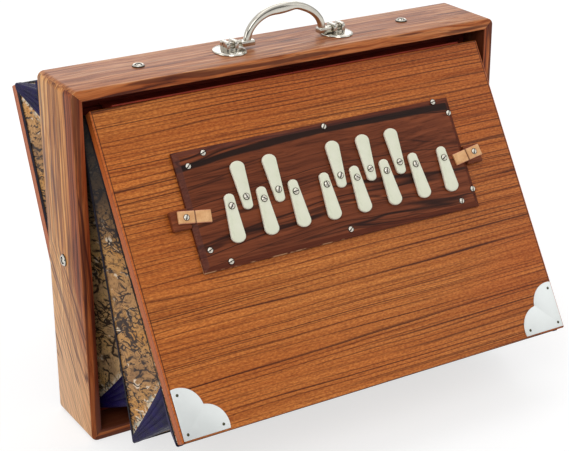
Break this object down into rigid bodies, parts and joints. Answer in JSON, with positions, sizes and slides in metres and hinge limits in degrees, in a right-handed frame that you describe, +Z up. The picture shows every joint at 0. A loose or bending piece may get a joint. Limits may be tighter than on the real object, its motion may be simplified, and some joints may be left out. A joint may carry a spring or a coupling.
{
  "type": "shruti box",
  "caption": "Shruti box with both wedge bellows open: a teak case, a front board with swivelling drone stops over reeds, a pumping back board and a carrying handle.",
  "frame": {"origin": "Middle of the case's flat underside.", "axes": "+X is to the right as seen from the front, along the case's width; the front board faces -Y and the back board +Y; +Z is up."},
  "size_m": [0.4, 0.3004, 0.336],
  "materials": {
    "case_wood": "satin varnish over straight grained teak",
    "board_veneer": "satin varnish over fine straight grained veneer",
    "inner_wood": "planed and unvarnished",
    "rosewood": "oiled, dark red brown",
    "ivory_plastic": "polished",
    "nickel": "bright nickel plate",
    "chrome": "mirror bright plate",
    "spring_steel": "drawn wire",
    "tan_leather": "undyed, smooth",
    "blue_leather": "dyed navy blue, soft",
    "brown_leather": "dyed dark brown",
    "bellows_card": "covered in gold paper with a black marbled pattern"
  },
  "bodies": {
    "case": {"case_top": "case_wood", "case_bottom": "case_wood", "case_left": "case_wood", "case_right": "case_wood", "partition": "inner_wood", "front_bellows_frame": "inner_wood", "back_bellows_frame": "inner_wood", "handle_plate_left": "chrome", "handle_plate_right": "chrome", "front_bellows": "bellows_card", "front_gusset_left": "blue_leather", "front_gusset_right": "blue_leather", "front_hinge_leather": "brown_leather", "front_spring_left": "spring_steel", "front_spring_right": "spring_steel", "back_bellows": "bellows_card", "back_gusset_left": "blue_leather", "back_gusset_right": "blue_leather", "back_hinge_leather": "brown_leather", "back_spring_left": "spring_steel", "back_spring_right": "spring_steel"},
    "front_board": {"front_board": "board_veneer", "key_plate": "rosewood", "reed_bank": "inner_wood", "finger_pull_left": "tan_leather", "finger_pull_right": "tan_leather", "pull_block_left": "rosewood", "pull_block_right": "rosewood", "corner_plate_left": "nickel", "corner_plate_right": "nickel", "stop_screw_01": "nickel", "stop_screw_02": "nickel", "stop_screw_03": "nickel", "stop_screw_04": "nickel", "stop_screw_05": "nickel", "stop_screw_06": "nickel", "stop_screw_07": "nickel", "stop_screw_08": "nickel", "stop_screw_09": "nickel", "stop_screw_10": "nickel", "stop_screw_11": "nickel", "stop_screw_12": "nickel", "stop_screw_13": "nickel"},
    "back_board": {"back_board": "board_veneer"},
    "transfer_flap": {"transfer_flap": "tan_leather"},
    "intake_flap": {"intake_flap": "tan_leather"},
    "handle_bail": {"handle_bail": "chrome"},
    "stop_01": {"stop_01": "ivory_plastic"},
    "stop_02": {"stop_02": "ivory_plastic"},
    "stop_03": {"stop_03": "ivory_plastic"},
    "stop_04": {"stop_04": "ivory_plastic"},
    "stop_05": {"stop_05": "ivory_plastic"},
    "stop_06": {"stop_06": "ivory_plastic"},
    "stop_07": {"stop_07": "ivory_plastic"},
    "stop_08": {"stop_08": "ivory_plastic"},
    "stop_09": {"stop_09": "ivory_plastic"},
    "stop_10": {"stop_10": "ivory_plastic"},
    "stop_11": {"stop_11": "ivory_plastic"},
    "stop_12": {"stop_12": "ivory_plastic"},
    "stop_13": {"stop_13": "ivory_plastic"}
  },
  "joints": [
    {"name": "front_board_hinge", "type": "hinge", "parent": "case", "child": "front_board", "pos_m": [0, -0.0215, 0.2785], "axis": [1, 0, 0], "range_deg": [0, 32.2], "stiffness_Nm_per_rad": 1, "springref_deg": -68.75, "deforming": ["front_bellows", "front_gusset_left", "front_gusset_right", "front_hinge_leather", "front_spring_left", "front_spring_right"]},
    {"name": "back_board_hinge", "type": "hinge", "parent": "case", "child": "back_board", "pos_m": [0, 0.0215, 0.0235], "axis": [1, 0, 0], "range_deg": [0, 22.7], "stiffness_Nm_per_rad": 0.5, "springref_deg": -45.84, "deforming": ["back_bellows", "back_gusset_left", "back_gusset_right", "back_hinge_leather", "back_spring_left", "back_spring_right"]},
    {"name": "stop_01_swivel", "type": "hinge", "parent": "front_board", "child": "stop_01", "pos_m": [-0.0947, -0.08702, 0.20655], "axis": [0, -0.8462, 0.5329], "range_deg": [-25.5, 30.5]},
    {"name": "stop_02_swivel", "type": "hinge", "parent": "front_board", "child": "stop_02", "pos_m": [-0.0801, -0.08457, 0.21044], "axis": [0, -0.8462, 0.5329], "range_deg": [-28, 28]},
    {"name": "stop_03_swivel", "type": "hinge", "parent": "front_board", "child": "stop_03", "pos_m": [-0.0655, -0.08702, 0.20655], "axis": [0, -0.8462, 0.5329], "range_deg": [-28, 28]},
    {"name": "stop_04_swivel", "type": "hinge", "parent": "front_board", "child": "stop_04", "pos_m": [-0.0509, -0.08457, 0.21044], "axis": [0, -0.8462, 0.5329], "range_deg": [-28.5, 27.5]},
    {"name": "stop_05_swivel", "type": "hinge", "parent": "front_board", "child": "stop_05", "pos_m": [-0.0363, -0.08702, 0.20655], "axis": [0, -0.8462, 0.5329], "range_deg": [-29, 27]},
    {"name": "stop_06_swivel", "type": "hinge", "parent": "front_board", "child": "stop_06", "pos_m": [-0.0071, -0.08702, 0.20655], "axis": [0, -0.8462, 0.5329], "range_deg": [-28.5, 27.5]},
    {"name": "stop_07_swivel", "type": "hinge", "parent": "front_board", "child": "stop_07", "pos_m": [0.0075, -0.08457, 0.21044], "axis": [0, -0.8462, 0.5329], "range_deg": [-26, 30]},
    {"name": "stop_08_swivel", "type": "hinge", "parent": "front_board", "child": "stop_08", "pos_m": [0.0221, -0.08702, 0.20655], "axis": [0, -0.8462, 0.5329], "range_deg": [-29, 27]},
    {"name": "stop_09_swivel", "type": "hinge", "parent": "front_board", "child": "stop_09", "pos_m": [0.0367, -0.08457, 0.21044], "axis": [0, -0.8462, 0.5329], "range_deg": [-26, 30]},
    {"name": "stop_10_swivel", "type": "hinge", "parent": "front_board", "child": "stop_10", "pos_m": [0.0513, -0.08702, 0.20655], "axis": [0, -0.8462, 0.5329], "range_deg": [-30.5, 25.5]},
    {"name": "stop_11_swivel", "type": "hinge", "parent": "front_board", "child": "stop_11", "pos_m": [0.0659, -0.08457, 0.21044], "axis": [0, -0.8462, 0.5329], "range_deg": [-28, 28]},
    {"name": "stop_12_swivel", "type": "hinge", "parent": "front_board", "child": "stop_12", "pos_m": [0.0805, -0.08702, 0.20655], "axis": [0, -0.8462, 0.5329], "range_deg": [-31, 25]},
    {"name": "stop_13_swivel", "type": "hinge", "parent": "front_board", "child": "stop_13", "pos_m": [0.1097, -0.08702, 0.20655], "axis": [0, -0.8462, 0.5329], "range_deg": [-29, 27]},
    {"name": "transfer_flap_hinge", "type": "hinge", "parent": "case", "child": "transfer_flap", "pos_m": [0, -0.0043, 0.09], "axis": [-1, 0, 0], "range_deg": [0, 15]},
    {"name": "intake_flap_hinge", "type": "hinge", "parent": "back_board", "child": "intake_flap", "pos_m": [0, 0.0849, 0.17583], "axis": [-1, 0, 0], "range_deg": [0, 15]},
    {"name": "handle_fold", "type": "hinge", "parent": "case", "child": "handle_bail", "pos_m": [0.0074, 0, 0.3082], "axis": [1, 0, 0], "range_deg": [-88, 88]}
  ]
}
